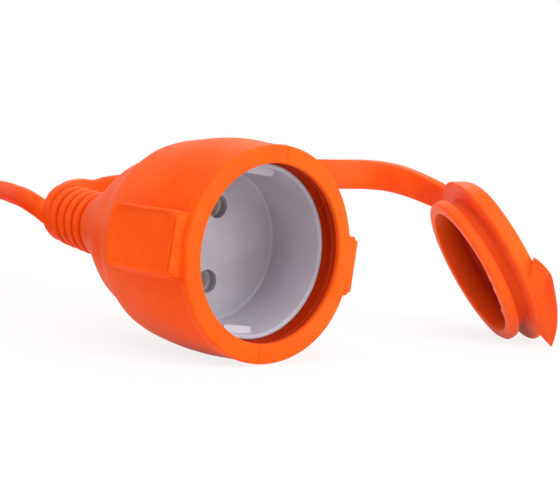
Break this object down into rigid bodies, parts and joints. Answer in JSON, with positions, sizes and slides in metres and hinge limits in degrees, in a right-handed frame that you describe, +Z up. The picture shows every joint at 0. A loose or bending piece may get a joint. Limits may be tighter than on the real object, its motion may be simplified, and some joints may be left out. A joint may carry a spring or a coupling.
{
  "type": "extension cord",
  "caption": "Orange rubber extension cord: a recessed two-pole cable socket with a sealing cap on a strap, and round cord in a tied coil that ends in a flat plug.",
  "frame": {"origin": "On the floor, under the middle of the box round the socket, its strap and its cap; the cord, coil and plug are left out of that box.", "axes": "+Z up; +X along the socket's axis, out of its mouth; +Y towards the side where the cap lies."},
  "size_m": [0.2291, 0.2341, 0.054],
  "materials": {
    "orange_rubber": "satin moulded rubber",
    "cord_sheath": "satin extruded sheath",
    "grey_insulator": "fine matt moulded plastic",
    "nickel_plating": "nickel-plated brass",
    "band_steel": "rolled steel band",
    "core_brown": "core insulation",
    "core_blue": "core insulation",
    "tie_fabric": "woven hook-and-loop tape",
    "dark_insulator": "fine matt moulded plastic"
  },
  "bodies": {
    "socket": {"housing": "orange_rubber", "socket_cup": "grey_insulator", "contact_carrier": "grey_insulator", "carrier_plate": "grey_insulator", "contact_upper": "nickel_plating", "contact_lower": "nickel_plating", "crimp_upper": "nickel_plating", "crimp_lower": "nickel_plating", "core_brown": "core_brown", "core_blue": "core_blue", "cord_anchor": "band_steel", "sheath_end": "cord_sheath", "strain_relief": "orange_rubber", "cord_lead": "cord_sheath", "cord_coil": "cord_sheath", "coil_tie": "tie_fabric", "cord_tail": "cord_sheath", "plug_body": "orange_rubber", "plug_bridge": "dark_insulator", "plug_pin_left": "nickel_plating", "plug_pin_right": "nickel_plating", "plug_crimp_left": "nickel_plating", "plug_crimp_right": "nickel_plating", "plug_core_brown": "core_brown", "plug_core_blue": "core_blue", "plug_sheath_end": "cord_sheath", "plug_strain_relief": "orange_rubber"},
    "ring": {"strap_ring": "orange_rubber"},
    "rear_strap": {"strap_rear": "orange_rubber"},
    "front_strap": {"strap_front": "orange_rubber"},
    "sealing_cap": {"cap": "orange_rubber", "pull_tab": "orange_rubber"}
  },
  "joints": [
    {"name": "ring_turn", "type": "hinge", "parent": "socket", "child": "ring", "pos_m": [-0.04852, -0.04747, 0.027], "axis": [1, 0, 0], "range_deg": [0, 120]},
    {"name": "strap_swing", "type": "hinge", "parent": "ring", "child": "rear_strap", "pos_m": [-0.04222, -0.03121, 0.03658], "axis": [0, 0.0002, 1], "range_deg": [-30, 30], "stiffness_Nm_per_rad": 0.02},
    {"name": "strap_bend", "type": "hinge", "parent": "rear_strap", "child": "front_strap", "pos_m": [-0.01622, 0.013, 0.04422], "axis": [0, 0.0002, 1], "range_deg": [-30, 60], "stiffness_Nm_per_rad": 0.02},
    {"name": "cap_fold", "type": "hinge", "parent": "front_strap", "child": "sealing_cap", "pos_m": [-0.00502, 0.06009, 0.03939], "axis": [0.5019, -0.3001, 0.8112], "range_deg": [0, 70], "stiffness_Nm_per_rad": 0.02}
  ]
}
